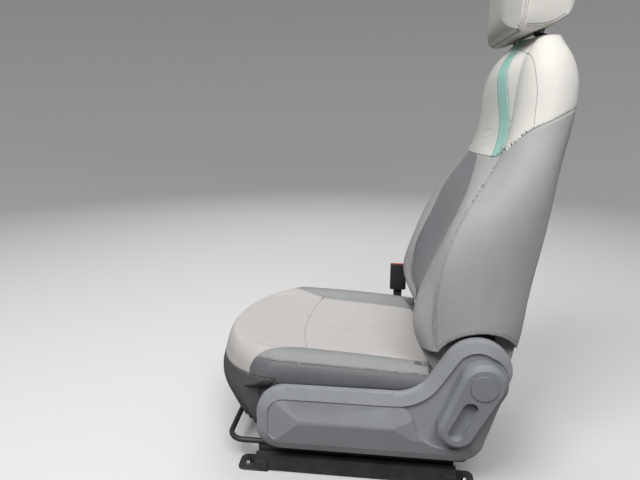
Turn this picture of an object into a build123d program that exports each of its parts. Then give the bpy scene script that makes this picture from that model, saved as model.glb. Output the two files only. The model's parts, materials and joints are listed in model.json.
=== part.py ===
"""Front seat of a small car: rails, seat base with side shields, reclining back and headrest.

Millimetres. X runs across the seat (+X is the outboard side, with the recliner lever), Y runs to
the rear and Z is up. The origin is on the floor, midway between the four floor bolts.
"""
from build123d import *
import os
from math import asin, atan2, cos, degrees, dist, radians, sin, tan

# Floor fixing and rails
BOLT_SPACING_X = 400
BOLT_SPACING_Y = 470
BOLT_HOLE_R = 5.5
FOOT_THICK = 3
FOOT_WIDTH = 44
FOOT_BEYOND_BOLT = 20
FOOT_LAP = 26
LOWER_RAIL_LENGTH = 426
UPPER_RAIL_LENGTH = 420
RAIL_WIDTH = 44
RAIL_HEIGHT = 37
RAIL_SHEET = 2
RAIL_SLOT = 18
RAIL_LIP = 14
UPPER_WEB = 8
UPPER_FOOT_WIDTH = 34
UPPER_FOOT_THICK = 3
UPPER_HOOK = 15
UPPER_FOOT_RISE = 14
UPPER_RAIL_TOP = 52
ROLLER_R = 6
ROLLER_LENGTH = 30
ROLLER_Y = (-80, 130)

# Clearances: at rest between pieces that touch in the real seat, and at the turning pins
SEAT_GAP = 0.3
PIN_GAP = 0.3

# Recliner axis
PIVOT_Y = 240
PIVOT_Z = 266

# Steel seat frame
MEMBER_X = 208.5
MEMBER_THICK = 3
MEMBER_FLANGE = 20
MEMBER_FRONT_Y = -185
MEMBER_REAR_Y = 232
EAR_R = 42
PAN_SHEET = 2
TUBE_WALL = 2
FRONT_TUBE = {"y": -150, "r": 12}
REAR_TUBE = {"y": 196, "z": 128, "r": 13}
BAR_R = 6
BAR_FRONT_Y = -280
BAR_BEND = 34
DISC_R = 33
SHAFT_R = 8
PLATE_THICK = 4

# Cushion
CUSHION_ARC_R = 290
CUSHION_FRONT_Y = -335
CUSHION_NOSE_Z = 272
CUSHION_END_R = 94
BOLSTER_EDGE_X = 150
SIDE_BOTTOM_Z = 200
FACING_BOTTOM_Z = 92
FACING_DEPTH = 28
FACING_SEAM = (204, 240)
CROSS_SEAM = (-129, -104)
SIDE_SEAM = (222, 262)
SIDE_SEAM_TILT = 20
SIDE_SEAM_FALL = 2.6

# Backrest
BACK_CORE_X = 186
BACK_LOWER_R = 86
LOBE_ANGLE = 28
FOLD_FORWARD = 18
TUCK_GAP = 3
PANEL_EDGE_X = 140
SHOULDER_Z = 675
CENTRE_TOP_X = 36
CENTRE_TOP_Z = 685
CENTRE_SHOULDER_Z = 590
CENTRE_SHOULDER_R = 90
RIDGE_SKEW = 0.3
REAR_WRAP = 14
REAR_LIP = 8
STRIPE_FOOT = (137, 676)
STRIPE_TOP = (36, 896)
STRIPE_WIDTH = 27
STRIPE_DEPTH = 14

# Headrest
POST_X = 70
POST_R = 5
POST_LEAN = 12
POST_BASE_Y = 334
POST_BASE_Z = 898
POST_BELOW = 130
POST_ABOVE = 110
SLEEVE_R = 8
SLEEVE_LENGTH = 62
COLLAR_R = 13
COLLAR_HEIGHT = 4
COLLAR_RISE = 3
HEADREST_HALF_WIDTH = 125
HEADREST_EDGE_R = 34
HEADREST_FRONT_Y = 256
HEADREST_CROWN_R = 270

# Side shields
SHIELD_INNER_X = 235
SHIELD_EDGE_X = 249
SHIELD_OUTER_X = 257
SWELL_TOP_X = 254
SWELL_REAR_X = 261
SWELL_RIDGE_X = 266
SWELL_RIDGE_Z = 156
SHIELD_WALL = 3
SHIELD_BAND = 22
SHIELD_FRONT_Y = -200
SHIELD_TOP_Z = 224
SHIELD_LOW_R = 45
SHIELD_TOP_R = 60
SHIELD_HEAD = (231, 282, 65)
SHIELD_HEEL = (204, 136, 53)
NECK_SLOPE = 59
NECK_R = 75
DISH_FLOOR_X = 251
DISH_WALL = 5
HOLLOW_CURVE = (184, 183, 69.5)
SWELL_CURVE = (76, 162)
LEVER_TOP_R = 44
LEVER_LOW_Y = 199
LEVER_LOW_Z = 169
LEVER_LOW_R = 38
LEVER_OUTER_X = 281
DISH_MARGIN = 9
CAP_R = 25
CAP_THICK = 2.5
SPINDLE_R = 9
GRIP_R = 15
GRIP_DEPTH = 16

# Belt buckle
BUCKLE_X = 270
BUCKLE_Y = 104
BUCKLE_SIZE = (22, 46, 74)
BUCKLE_BASE_Z = 258
STALK_WIDTH = 24
STALK_THICK = 3

SIDES = (("outboard", 1), ("inboard", -1))


def rounded(*corners):
    """Closed face through corners of (u, v, radius)."""
    face = make_face(Polyline(*[(u, v) for u, v, _ in corners], close=True))
    for u, v, radius in corners:
        if radius > 0:
            corner = min(face.vertices(), key=lambda p: (p.X - u) ** 2 + (p.Y - v) ** 2)
            face = fillet(corner, radius)
    return face


def across(face, x_from, x_to):
    """Extrudes a face drawn in (Y, Z) from one X to another."""
    return extrude(Plane.YZ.offset(x_from) * face, x_to - x_from)


def along(face, y_from, y_to):
    """Extrudes a face drawn in (X, Z) from one Y to another."""
    return extrude(Plane.XZ.offset(-y_from) * face, y_from - y_to)


def block(x0, x1, y0, y1, z0, z1):
    """Box between two corners."""
    return Pos((x0 + x1) / 2, (y0 + y1) / 2, (z0 + z1) / 2) * Box(x1 - x0, y1 - y0, z1 - z0)


def rod_x(radius, x0, x1, y, z):
    """Round bar that runs across the seat."""
    return across(Pos(y, z) * Circle(radius), x0, x1)


def flip(shape, side):
    """The shape itself outboard, or its mirror image inboard."""
    return shape if side > 0 else mirror(shape, about=Plane.YZ)


def curve(points):
    """A line through two points, or an arc through three."""
    return Line(*points) if len(points) == 2 else ThreePointArc(*points)


def even_face(first_middle, half, last_middle=None):
    """Closed face that is the same on both sides of u = 0.

    half lists the curves on the +u side from the first middle arc to the last; the last is a
    straight line where no point is given for it.
    """
    def opposite(points):
        return [(-u, v) for u, v in reversed(points)]
    start = half[0][0]
    end = half[-1][-1]
    last = [end, last_middle, (-end[0], end[1])] if last_middle else [end, (-end[0], end[1])]
    curves = [[(-start[0], start[1]), first_middle, start], *half, last]
    curves += [opposite(points) for points in reversed(half)]
    return make_face(Wire([curve(points) for points in curves]))


def save(name, shape):
    export_step(shape, f"parts/{name}.step")


# Rails and feet

def lower_rail():
    """Channel with lips that turn in and down."""
    base = FOOT_THICK
    outer = Pos(0, base + RAIL_HEIGHT / 2) * Rectangle(RAIL_WIDTH, RAIL_HEIGHT)
    inside = Rectangle(RAIL_WIDTH - 2 * RAIL_SHEET, RAIL_HEIGHT - 2 * RAIL_SHEET)
    section = outer - Pos(0, base + RAIL_HEIGHT / 2) * inside
    section -= Pos(0, base + RAIL_HEIGHT) * Rectangle(RAIL_SLOT, 3 * RAIL_SHEET)
    for side in (1, -1):
        lip_x = side * (RAIL_SLOT + RAIL_SHEET) / 2
        section += Pos(lip_x, base + RAIL_HEIGHT - RAIL_LIP / 2) * Rectangle(RAIL_SHEET, RAIL_LIP)
    rail = along(section, -LOWER_RAIL_LENGTH / 2, LOWER_RAIL_LENGTH / 2)
    return Pos(BOLT_SPACING_X / 2, 0, 0) * rail


def rail_foot(end):
    """Floor bracket under one end of a rail, with ears up the rail's sides."""
    rail_end = LOWER_RAIL_LENGTH / 2
    tip = BOLT_SPACING_Y / 2 + FOOT_BEYOND_BOLT
    root = rail_end - FOOT_LAP
    plate = block(-FOOT_WIDTH / 2 - FOOT_THICK, FOOT_WIDTH / 2 + FOOT_THICK, root, tip, 0, FOOT_THICK)
    plate = fillet(plate.edges().filter_by(Axis.Z).group_by(Axis.Y)[-1], 14)
    for side in (1, -1):
        x0 = side * RAIL_WIDTH / 2
        x1 = x0 + side * FOOT_THICK
        ear = block(min(x0, x1), max(x0, x1), root, rail_end, FOOT_THICK, FOOT_THICK + 22)
        plate += ear
    plate -= Pos(0, BOLT_SPACING_Y / 2, 0) * Cylinder(BOLT_HOLE_R, 4 * FOOT_THICK)
    if end < 0:
        plate = mirror(plate, about=Plane.XZ)
    return Pos(BOLT_SPACING_X / 2, 0, 0) * plate


def upper_rail():
    """Sliding rail: web, foot flange with upturned hooks, and two rollers."""
    foot_z = FOOT_THICK + UPPER_FOOT_RISE
    web_height = UPPER_RAIL_TOP - foot_z
    section = Pos(0, foot_z + web_height / 2) * Rectangle(UPPER_WEB, web_height)
    section += Pos(0, foot_z + UPPER_FOOT_THICK / 2) * Rectangle(UPPER_FOOT_WIDTH, UPPER_FOOT_THICK)
    for side in (1, -1):
        hook_x = side * (UPPER_FOOT_WIDTH - UPPER_FOOT_THICK) / 2
        section += Pos(hook_x, foot_z + UPPER_HOOK / 2) * Rectangle(UPPER_FOOT_THICK, UPPER_HOOK)
    rail = along(section, -UPPER_RAIL_LENGTH / 2, UPPER_RAIL_LENGTH / 2)
    axle_z = FOOT_THICK + RAIL_SHEET + SEAT_GAP + ROLLER_R
    for y in ROLLER_Y:
        rail += rod_x(ROLLER_R, -ROLLER_LENGTH / 2, ROLLER_LENGTH / 2, y, axle_z)
    return Pos(BOLT_SPACING_X / 2, 0, 0) * rail


# Seat frame

PAN_LINE = ((-262, 158), (-222, 174), (-130, 162), (80, 134), (152, 146))


def pan_outline(drop):
    """Closed (Y, Z) face between the pan's line lowered by drop and the floor."""
    line = [(y, z - drop) for y, z in PAN_LINE]
    front = line[0][0]
    rear = line[-1][0]
    return make_face(Polyline(*line, (rear, 0), (front, 0), close=True))


def seat_pan():
    """Pressed steel pan that carries the cushion, cut to the front arc."""
    sheet = across(pan_outline(0) - pan_outline(PAN_SHEET), -MEMBER_X, MEMBER_X)
    return (sheet & plan_drum(CUSHION_ARC_R - FACING_DEPTH - SEAT_GAP)).solid()


def plan_drum(radius):
    """Upright solid whose front is the cushion's plan arc, straight behind the arc's centre."""
    centre_y = CUSHION_FRONT_Y + CUSHION_ARC_R
    half = MEMBER_X + 60
    drum = Pos(0, centre_y, 150) * Cylinder(radius, 400)
    return drum + block(-half, half, centre_y, centre_y + 400, -50, 350)


def side_member():
    """Pressed side plate with a foot flange, lightening holes and the recliner ear."""
    top = UPPER_RAIL_TOP
    web = rounded((MEMBER_FRONT_Y, top, 6), (MEMBER_FRONT_Y, 130, 24), (-128, 152, 30),
                  (80, 122, 40), (150, 130, 40), (199, 262, 0), (PIVOT_Y, PIVOT_Z, 0),
                  (281, 258, 0), (256, 120, 50), (MEMBER_REAR_Y, top, 12))
    web += Pos(PIVOT_Y, PIVOT_Z) * Circle(EAR_R)
    for y, radius in ((-112, 24), (-44, 20), (20, 18)):
        web -= Pos(y, 98) * Circle(radius)
    plate = across(web, MEMBER_X, MEMBER_X + MEMBER_THICK)
    plate -= rod_x(REAR_TUBE["r"] + SEAT_GAP, 0, 300, REAR_TUBE["y"], REAR_TUBE["z"])
    flange_x = MEMBER_X - MEMBER_FLANGE
    plate += block(flange_x, MEMBER_X + MEMBER_THICK, MEMBER_FRONT_Y + 6, MEMBER_REAR_Y - 12,
                   top, top + MEMBER_THICK)
    return plate


def tube_x(radius, half, y, z):
    """Tube that runs across the seat, open at both ends."""
    return rod_x(radius, -half, half, y, z) - rod_x(radius - TUBE_WALL, -half - 1, half + 1, y, z)


def front_tube():
    pan_z = pan_height(FRONT_TUBE["y"]) - PAN_SHEET - SEAT_GAP
    slope = atan2(PAN_LINE[2][1] - PAN_LINE[1][1], PAN_LINE[2][0] - PAN_LINE[1][0])
    z = pan_z - FRONT_TUBE["r"] / cos(slope)
    return tube_x(FRONT_TUBE["r"], MEMBER_X, FRONT_TUBE["y"], z)


def pan_height(y):
    """Height of the pan's upper face at a given Y."""
    for (y0, z0), (y1, z1) in zip(PAN_LINE, PAN_LINE[1:]):
        if y0 <= y <= y1:
            return z0 + (z1 - z0) * (y - y0) / (y1 - y0)
    raise ValueError("outside the pan")


def rear_tube():
    half = MEMBER_X + MEMBER_THICK + 3
    return tube_x(REAR_TUBE["r"], half, REAR_TUBE["y"], REAR_TUBE["z"])


def recliner():
    """Round recliner housing on the ear, with the shaft that the backrest turns on."""
    plate_out = BACK_CORE_X + SEAT_GAP + PLATE_THICK
    housing = rod_x(DISC_R, plate_out + SEAT_GAP, MEMBER_X, PIVOT_Y, PIVOT_Z)
    outer = housing.faces().sort_by(Axis.X)[0]
    housing = chamfer(outer.edges(), 2)
    return housing + rod_x(SHAFT_R, BACK_CORE_X + SEAT_GAP, MEMBER_X, PIVOT_Y, PIVOT_Z)


# Cushion

def cushion_section(y, side, crest_z, edge_z, centre_z):
    """Cross-section of the cushion, in (X, Z), moved to its Y."""
    side_x = MEMBER_X + MEMBER_THICK + SEAT_GAP
    low = (side_x, FACING_BOTTOM_Z - 20)
    start = (side_x, SIDE_BOTTOM_Z)
    bulge = (side, crest_z - 24)
    top_out = (side - 12, crest_z - 7)
    crest = (side - 40, crest_z)
    edge = (BOLSTER_EDGE_X, edge_z)
    half = [(edge, crest, top_out), (top_out, bulge, start), (start, low)]
    return Plane.XZ.offset(-y) * even_face((0, centre_z), half)


def cushion_body():
    """Whole cushion before it is divided along its seams."""
    # columns: y, half-width, height of the bolster's crest, of the panel's edge, of the centre
    stations = ((-345, 232, 276, 268, 264), (-60, 232, 272, 260, 250), (180, 226, 254, 238, 226))
    body = loft([cushion_section(*row) for row in stations])
    nose = rounded((0, FACING_BOTTOM_Z, 0), (CUSHION_ARC_R - 32, FACING_BOTTOM_Z, 18),
                   (CUSHION_ARC_R + 2, 172, 55), (CUSHION_ARC_R - 26, CUSHION_NOSE_Z, 50),
                   (0, CUSHION_NOSE_Z + 38, 0))
    drum = revolve(Plane.XZ * nose, Axis.Z)
    centre_y = CUSHION_FRONT_Y + CUSHION_ARC_R
    drum = Pos(0, centre_y, 0) * drum
    drum += block(-300, 300, centre_y, centre_y + 400, FACING_BOTTOM_Z, 330)
    body &= drum
    under = across(pan_outline(0), -300, 300) & plan_drum(CUSHION_ARC_R - FACING_DEPTH)
    body -= under
    body -= block(-300, 300, PAN_LINE[-1][0], 300, 0, PAN_LINE[-1][1])
    for side in (1, -1):
        x0 = side * (MEMBER_X - SEAT_GAP)
        x1 = side * 320
        body -= block(min(x0, x1), max(x0, x1), MEMBER_FRONT_Y - 12, 300, 0, SIDE_BOTTOM_Z)
    body -= rod_x(BACK_LOWER_R + TUCK_GAP, -300, 300, PIVOT_Y, PIVOT_Z)
    body -= block(-300, 300, PIVOT_Y - 20, 400, 0, 400)
    # Behind each bolster the end slopes, so that the backrest's lobe folds forward over it.
    for side in (1, -1):
        x0 = side * (PANEL_EDGE_X - 5)
        x1 = side * (BACK_CORE_X + 4)
        body -= across(tuck(), min(x0, x1), max(x0, x1))
        x2 = side * 300
        body -= rod_x(CUSHION_END_R, min(x1, x2), max(x1, x2), PIVOT_Y, PIVOT_Z)
    return body.solid()


def tangent(radius, angle):
    """Foot and top of a line that rises forward from a circle about the pivot."""
    foot = spot((PIVOT_Y, PIVOT_Z), radius, 180 + angle)
    run = 160
    return foot, (foot[0] - run * sin(radians(angle)), foot[1] + run * cos(radians(angle)))


def tuck():
    """Face in (Y, Z) behind the front of the backrest's lobe when it is folded forward."""
    foot, top = tangent(BACK_LOWER_R + TUCK_GAP, LOBE_ANGLE + FOLD_FORWARD)
    return make_face(Polyline((PIVOT_Y, PIVOT_Z), foot, top, (PIVOT_Y, top[1]), close=True))


def lobe_front():
    """Face in (Y, Z) ahead of the backrest's lower front: a circle about the pivot and its tangent."""
    foot, top = tangent(BACK_LOWER_R, LOBE_ANGLE)
    ahead = make_face(Polyline((0, 0), (PIVOT_Y, 0), (PIVOT_Y, PIVOT_Z), foot, top, (0, top[1]),
                               close=True))
    return ahead - Pos(PIVOT_Y, PIVOT_Z) * Circle(BACK_LOWER_R)


def above_side_seam():
    """Everything above the double-stitched seam of the outboard bolster, which falls to the rear."""
    x, z = SIDE_SEAM
    rise = tan(radians(SIDE_SEAM_TILT))
    wedge = make_face(Polyline((100, z - (x - 100) * rise), (300, z + (300 - x) * rise), (300, 420),
                               (100, 420), close=True))
    middle_y = (CUSHION_FRONT_Y + PIVOT_Y) / 2
    return Pos(0, middle_y, z) * Rot(-SIDE_SEAM_FALL, 0, 0) * Pos(0, 0, -z) * along(wedge, -400, 400)


def cushion_panels():
    """The cushion divided along its seams, as name and solid."""
    body = cushion_body()
    wide = 330
    bolster = extrude(rounded((BOLSTER_EDGE_X, 300, 0), (BOLSTER_EDGE_X, -110, 160),
                              (208, -222, 0), (wide, -240, 0), (wide, 300, 0)), 400)
    middle_z, corner_z = FACING_SEAM
    seam = [ThreePointArc((-260, corner_z), (0, middle_z), (260, corner_z)),
            Polyline((260, corner_z), (260, 0), (-260, 0), (-260, corner_z))]
    below_seam = along(make_face(seam), -400, -150)
    facing = (body & below_seam) - plan_drum(CUSHION_ARC_R - FACING_DEPTH)
    rest = body - facing
    panels = {"cushion_front_facing": facing}
    middle = rest
    for name, side in SIDES:
        pad = rest & flip(bolster, side)
        upper = flip(above_side_seam(), side)
        panels[f"cushion_bolster_{name}"] = pad & upper
        panels[f"cushion_side_{name}"] = pad - upper
        middle -= flip(bolster, side)
    middle_y, end_y = CROSS_SEAM
    end_x = BOLSTER_EDGE_X + 10
    cross = [ThreePointArc((-end_x, end_y), (0, middle_y), (end_x, end_y)),
             Polyline((end_x, end_y), (wide, end_y), (wide, -wide - 80), (-wide, -wide - 80),
                      (-wide, end_y), (-end_x, end_y))]
    front = extrude(make_face(cross), 400)
    panels["cushion_front_insert"] = middle & front
    panels["cushion_rear_insert"] = middle - front
    return panels


# Backrest

def back_section(z, edge, centre_y, crest, ridge, side, back, rear_y):
    """Level section of the backrest from six arcs; each pair is (x, y) on the outboard half."""
    half = [(edge, crest, ridge), (ridge, side, back)]
    return Pos(0, 0, z) * even_face((0, centre_y), half, (0, rear_y))


# Level sections of the backrest, from the lower hem to the shoulder
# columns: z, panel edge, centre y, bolster crest, ridge seam, side bulge, rear corner, rear y
BACK_SECTIONS = (
    (190, (140, 190), 195, (186, 168), (214, 195), (224, 244), (194, 290), 300),
    (300, (140, 150), 159, (186, 128), (214, 158), (228, 240), (198, 312), 324),
    (400, (140, 135), 154, (188, 121), (216, 150), (232, 240), (204, 322), 340),
    (520, (138, 176), 190, (180, 163), (210, 170), (231, 260), (206, 337), 358),
    (600, (124, 206), 211, (156, 205), (184, 212), (226, 285), (202, 348), 372),
    (680, (60, 242), 238, (106, 250), (148, 262), (208, 308), (187, 362), 389),
    (790, (50, 261), 256, (84, 271), (120, 287), (180, 335), (161, 384), 408),
    (860, (46, 282), 277, (76, 290), (106, 302), (150, 340), (132, 376), 398),
    (898, (44, 315), 312, (68, 320), (86, 326), (106, 343), (94, 366), 373),
)


def back_body():
    """Whole backrest before it is divided, cut round the recliners and the headrest guides."""
    body = loft([back_section(*row) for row in BACK_SECTIONS])
    # The lower front edge is a cylinder about the pivot, so that it turns clear of the cushion.
    body -= across(lobe_front(), -300, 300)
    body -= across(rounded((150, 0, 0), (150, 204, 0), (250, 204, 0), (330, 222, 0), (330, 0, 0)),
                   -300, 300)
    for side in (1, -1):
        x0 = side * BACK_CORE_X
        x1 = side * 320
        body -= block(min(x0, x1), max(x0, x1), 0, 500, 0, 300)
        body -= rod_x(BACK_LOWER_R, min(x0, x1), max(x0, x1), PIVOT_Y, PIVOT_Z)
        bore = headrest_axis(side) * Cylinder(SLEEVE_R + SEAT_GAP, 2 * SLEEVE_LENGTH)
        body -= bore
        body -= headrest_axis(side) * Pos(0, 0, -POST_BELOW / 2) * Cylinder(POST_R + 1, POST_BELOW + 20)
    return body.solid()


def shoulder_cut():
    """Everything above the lower edge of the shoulder cover."""
    line = rounded((100, SHOULDER_Z, 0), (256, SHOULDER_Z, 20), (296, 726, 60), (372, 762, 60),
                   (480, 800, 0), (480, 1000, 0), (100, 1000, 0))
    return across(line, -300, 300)


def beside(points, edge):
    """Closed face between a smooth line through points and the upright line at u = edge."""
    rim = Polyline(points[-1], (edge, points[-1][1]), (edge, points[0][1]), points[0])
    return make_face([Spline(*points), rim])


def rear_cut():
    """The rear panel's space, which stops short of the rear corners and of the top."""
    depth = across(beside([(row[6][1] - REAR_LIP, row[0]) for row in BACK_SECTIONS], 520), -300, 300)
    line = [(row[6][0] - REAR_WRAP, row[0]) for row in BACK_SECTIONS[:-1]]
    top = BACK_SECTIONS[-1]
    line.append((top[6][0] - REAR_WRAP, top[0] - REAR_WRAP))
    half = along(beside(line, 0), 100, 520)
    return depth & (half + flip(half, -1))


def ridge_cut(side):
    """Everything ahead of a face that runs from the ridge seam inwards and to the rear."""
    seam = [(row[4][1] + RIDGE_SKEW * row[4][0], row[0]) for row in BACK_SECTIONS]
    face = Plane.YZ * beside(seam, 0)
    return flip(extrude(face, 300, dir=(1, -RIDGE_SKEW, 0)), side)


def centre_cut():
    """The centre panel seen from the front: straight sides that lean in below the shoulder cover."""
    edge = PANEL_EDGE_X
    line = rounded((-edge, 0, 0), (edge, 0, 0), (edge, CENTRE_SHOULDER_Z, CENTRE_SHOULDER_R),
                   (CENTRE_TOP_X, CENTRE_TOP_Z, 0), (CENTRE_TOP_X, 1000, 0),
                   (-CENTRE_TOP_X, 1000, 0), (-CENTRE_TOP_X, CENTRE_TOP_Z, 0),
                   (-edge, CENTRE_SHOULDER_Z, CENTRE_SHOULDER_R))
    return along(line, 0, 600)


def stripe_cut(side):
    """One stripe: a straight slanting band, as deep as the front skin of the shoulder."""
    depth = STRIPE_DEPTH
    skin = across(rounded((150, 600, 0), (262 + depth, 600, 0), (262 + depth, 690, 60),
                          (276 + depth, 790, 200), (298 + depth, 860, 60), (322 + depth, 900, 0),
                          (322 + depth, 960, 0), (150, 960, 0)), -300, 300)
    (foot_x, foot_z), (top_x, top_z) = STRIPE_FOOT, STRIPE_TOP
    lean = degrees(atan2(foot_x - top_x, top_z - foot_z))
    band = Pos((foot_x + top_x) / 2, (foot_z + top_z) / 2) * Rot(0, 0, lean) * Rectangle(STRIPE_WIDTH, 300)
    return skin & flip(along(band, 100, 500), side)


def back_panels():
    """The backrest divided along its seams, as name and solid."""
    body = back_body()
    rear = body & rear_cut()
    front = body - rear_cut()
    cap = shoulder_cut()
    shoulders = front & cap
    lower = front - cap
    panels = {"back_rear_panel": rear}
    centre = centre_cut()
    for name, side in SIDES:
        ahead = ridge_cut(side)
        stripe = stripe_cut(side)
        panels[f"back_stripe_{name}"] = shoulders & stripe
        shoulders -= stripe
        half = flip(block(0, 400, 0, 600, 0, 1000), side)
        flank = (lower & half) - centre
        panels[f"back_bolster_{name}"] = flank & ahead
        panels[f"back_side_{name}"] = flank - ahead
    panels["back_shoulders"] = shoulders
    panels["back_centre_panel"] = lower & centre
    return panels


def recliner_plate():
    """Steel plate on the backrest's core, turning on the recliner shaft."""
    arm = rounded((204, PIVOT_Z, 0), (212, 360, 0), (272, 360, 0), (278, PIVOT_Z, 0))
    arm += Pos(PIVOT_Y, PIVOT_Z) * Circle(DISC_R + 4)
    arm &= Pos(PIVOT_Y, PIVOT_Z) * Circle(BACK_LOWER_R - SEAT_GAP)
    arm -= Pos(PIVOT_Y, PIVOT_Z) * Circle(SHAFT_R + PIN_GAP)
    x0 = BACK_CORE_X + SEAT_GAP
    return across(arm, x0, x0 + PLATE_THICK)


# Headrest

def headrest_axis(side):
    """Frame at the top of a guide, with Z along the post."""
    return Pos(side * POST_X, POST_BASE_Y, POST_BASE_Z) * Rot(-POST_LEAN, 0, 0)


def headrest_guide(side):
    """Plastic sleeve with a collar that the post slides in."""
    sleeve = Pos(0, 0, -SLEEVE_LENGTH / 2) * Cylinder(SLEEVE_R, SLEEVE_LENGTH)
    collar = Pos(0, 0, COLLAR_RISE + COLLAR_HEIGHT / 2) * Cylinder(COLLAR_R, COLLAR_HEIGHT)
    neck = Pos(0, 0, COLLAR_RISE / 2) * Cylinder(SLEEVE_R, COLLAR_RISE)
    bore = Cylinder(POST_R + PIN_GAP, 3 * SLEEVE_LENGTH)
    return headrest_axis(side) * (sleeve + neck + collar - bore)


def headrest_posts():
    """Bent steel bar: two posts joined inside the headrest."""
    low = -POST_BELOW
    high = POST_ABOVE
    bend = 24
    frame = Pos(0, POST_BASE_Y, POST_BASE_Z) * Rot(-POST_LEAN, 0, 0)
    path = FilletPolyline((-POST_X, 0, low), (-POST_X, 0, high), (POST_X, 0, high), (POST_X, 0, low),
                          radius=bend)
    section = Pos(-POST_X, 0, low) * Circle(POST_R)
    return frame * sweep(section, path=path)


def headrest_body():
    """Whole headrest before it is divided: the space that its side, front and plan views share."""
    half = HEADREST_HALF_WIDTH
    profile = rounded((258, 1070, 42), (266, 888, 34), (372, 926, 40), (392, 1074, 40))
    body = across(profile, -half, half)
    outline = rounded((-half, 1080, 60), (-half + 6, 885, 46), (half - 6, 885, 46), (half, 1080, 60))
    body &= along(outline, 200, 420)
    edge = HEADREST_EDGE_R
    plan = rounded((-half, 251, edge), (half, 251, edge), (half, 393, edge + 12), (-half, 393, edge + 12))
    plan &= Pos(0, HEADREST_FRONT_Y + HEADREST_CROWN_R) * Circle(HEADREST_CROWN_R)
    return body & Pos(0, 0, 860) * extrude(plan, 260)


def headrest_panels():
    """Front cover and rear cover, divided along the side seam."""
    body = headrest_body() - headrest_posts()
    for side in (1, -1):
        body -= headrest_axis(side) * Pos(0, 0, POST_ABOVE / 2 - 24) * Cylinder(POST_R + SEAT_GAP, POST_ABOVE)
    seam = rounded((200, 880, 0), (262, 880, 0), (288, 912, 40), (300, 1100, 0), (200, 1100, 0))
    cut = across(seam, -200, 200)
    return {"headrest_front": body & cut, "headrest_rear": body - cut}


# Side shields, lever and buckle

def spot(centre, radius, angle):
    """Point of a circle in (Y, Z) at an angle in degrees from +Y."""
    return (centre[0] + radius * cos(radians(angle)), centre[1] + radius * sin(radians(angle)))


def ring(arcs, inset=0):
    """Closed face of arcs joined by straight lines, moved inwards by inset.

    Each arc is (centre, radius, first angle, last angle); a negative radius is a hollow corner.
    """
    lines = []
    ends = []
    for centre, radius, first, last in arcs:
        real = radius - inset if radius > 0 else -radius + inset
        stops = [spot(centre, real, angle) for angle in (first, (first + last) / 2, last)]
        lines.append(ThreePointArc(*stops))
        ends.append((stops[0], stops[-1]))
    for (_, tail), (head, _) in zip(ends, ends[1:] + ends[:1]):
        if dist(tail, head) > 0.001:
            lines.append(Line(tail, head))
    return make_face(Wire(lines))


def stadium(head, heel):
    """Arcs of the hull of two circles, each (y, z, radius)."""
    (y0, z0, r0), (y1, z1, r1) = head, heel
    axis = degrees(atan2(z0 - z1, y0 - y1))
    lean = degrees(asin((r0 - r1) / dist((y0, z0), (y1, z1))))
    right = axis - 90 + lean
    left = axis + 90 - lean
    return (((y0, z0), r0, left, right), ((y1, z1), r1, right, left - 360))


def shield_arcs():
    """Arcs of the long low shield that rises at the rear to the recliner head."""
    head_y, head_z, head_r = SHIELD_HEAD
    heel_y, heel_z, heel_r = SHIELD_HEEL
    low_z = heel_z - heel_r
    slope = radians(NECK_SLOPE)
    touch = (head_y - head_r * sin(slope), head_z + head_r * cos(slope))
    foot_y = touch[0] - (touch[1] - SHIELD_TOP_Z) / tan(slope)
    neck = (foot_y - NECK_R * tan(slope / 2), SHIELD_TOP_Z + NECK_R)
    (top_arc, heel_arc) = stadium(SHIELD_HEAD, SHIELD_HEEL)
    low_corner = (SHIELD_FRONT_Y + SHIELD_LOW_R, low_z + SHIELD_LOW_R)
    top_corner = (SHIELD_FRONT_Y + SHIELD_TOP_R, SHIELD_TOP_Z - SHIELD_TOP_R)
    return (((heel_y, heel_z), heel_r, heel_arc[2], -90), (low_corner, SHIELD_LOW_R, 270, 180),
            (top_corner, SHIELD_TOP_R, 180, 90), (neck, -NECK_R, -90, -90 + NECK_SLOPE),
            ((head_y, head_z), head_r, 90 + NECK_SLOPE, top_arc[3]))


def lever_arcs(grow=0):
    return stadium((PIVOT_Y, PIVOT_Z, LEVER_TOP_R + grow), (LEVER_LOW_Y, LEVER_LOW_Z, LEVER_LOW_R + grow))


def taper(outline, x_low, x_high, grow_low, grow_high):
    """Solid between an outline grown by one amount at one X and by another at a second X."""
    low = Plane.YZ.offset(x_low) * outline(grow_low)
    high = Plane.YZ.offset(x_high) * outline(grow_high)
    return loft([low, high], ruled=True)


def shield_shell(arcs):
    """Tray open inwards: a straight rim, then a band that slopes in to the outer face."""
    shell = across(ring(arcs), SHIELD_INNER_X, SHIELD_EDGE_X)
    shell += taper(lambda grow: ring(arcs, -grow), SHIELD_EDGE_X, SHIELD_OUTER_X, 0, -SHIELD_BAND)
    return shell - across(ring(arcs, SHIELD_WALL), SHIELD_INNER_X - 1, SHIELD_EDGE_X - SHIELD_WALL)


def hollow_face():
    """Outline of the hollow round the lever, up to the S-shaped ridge of the swell."""
    y, z, radius = HOLLOW_CURVE
    swell_r = dist((y, z), SWELL_CURVE) - radius
    above = make_face(Polyline(SWELL_CURVE, (SWELL_CURVE[0], z + radius), (y, z + 2 * radius), (y, z),
                               close=True))
    return above - Pos(*SWELL_CURVE) * Circle(swell_r) + Pos(y, z) * Circle(radius)


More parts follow.
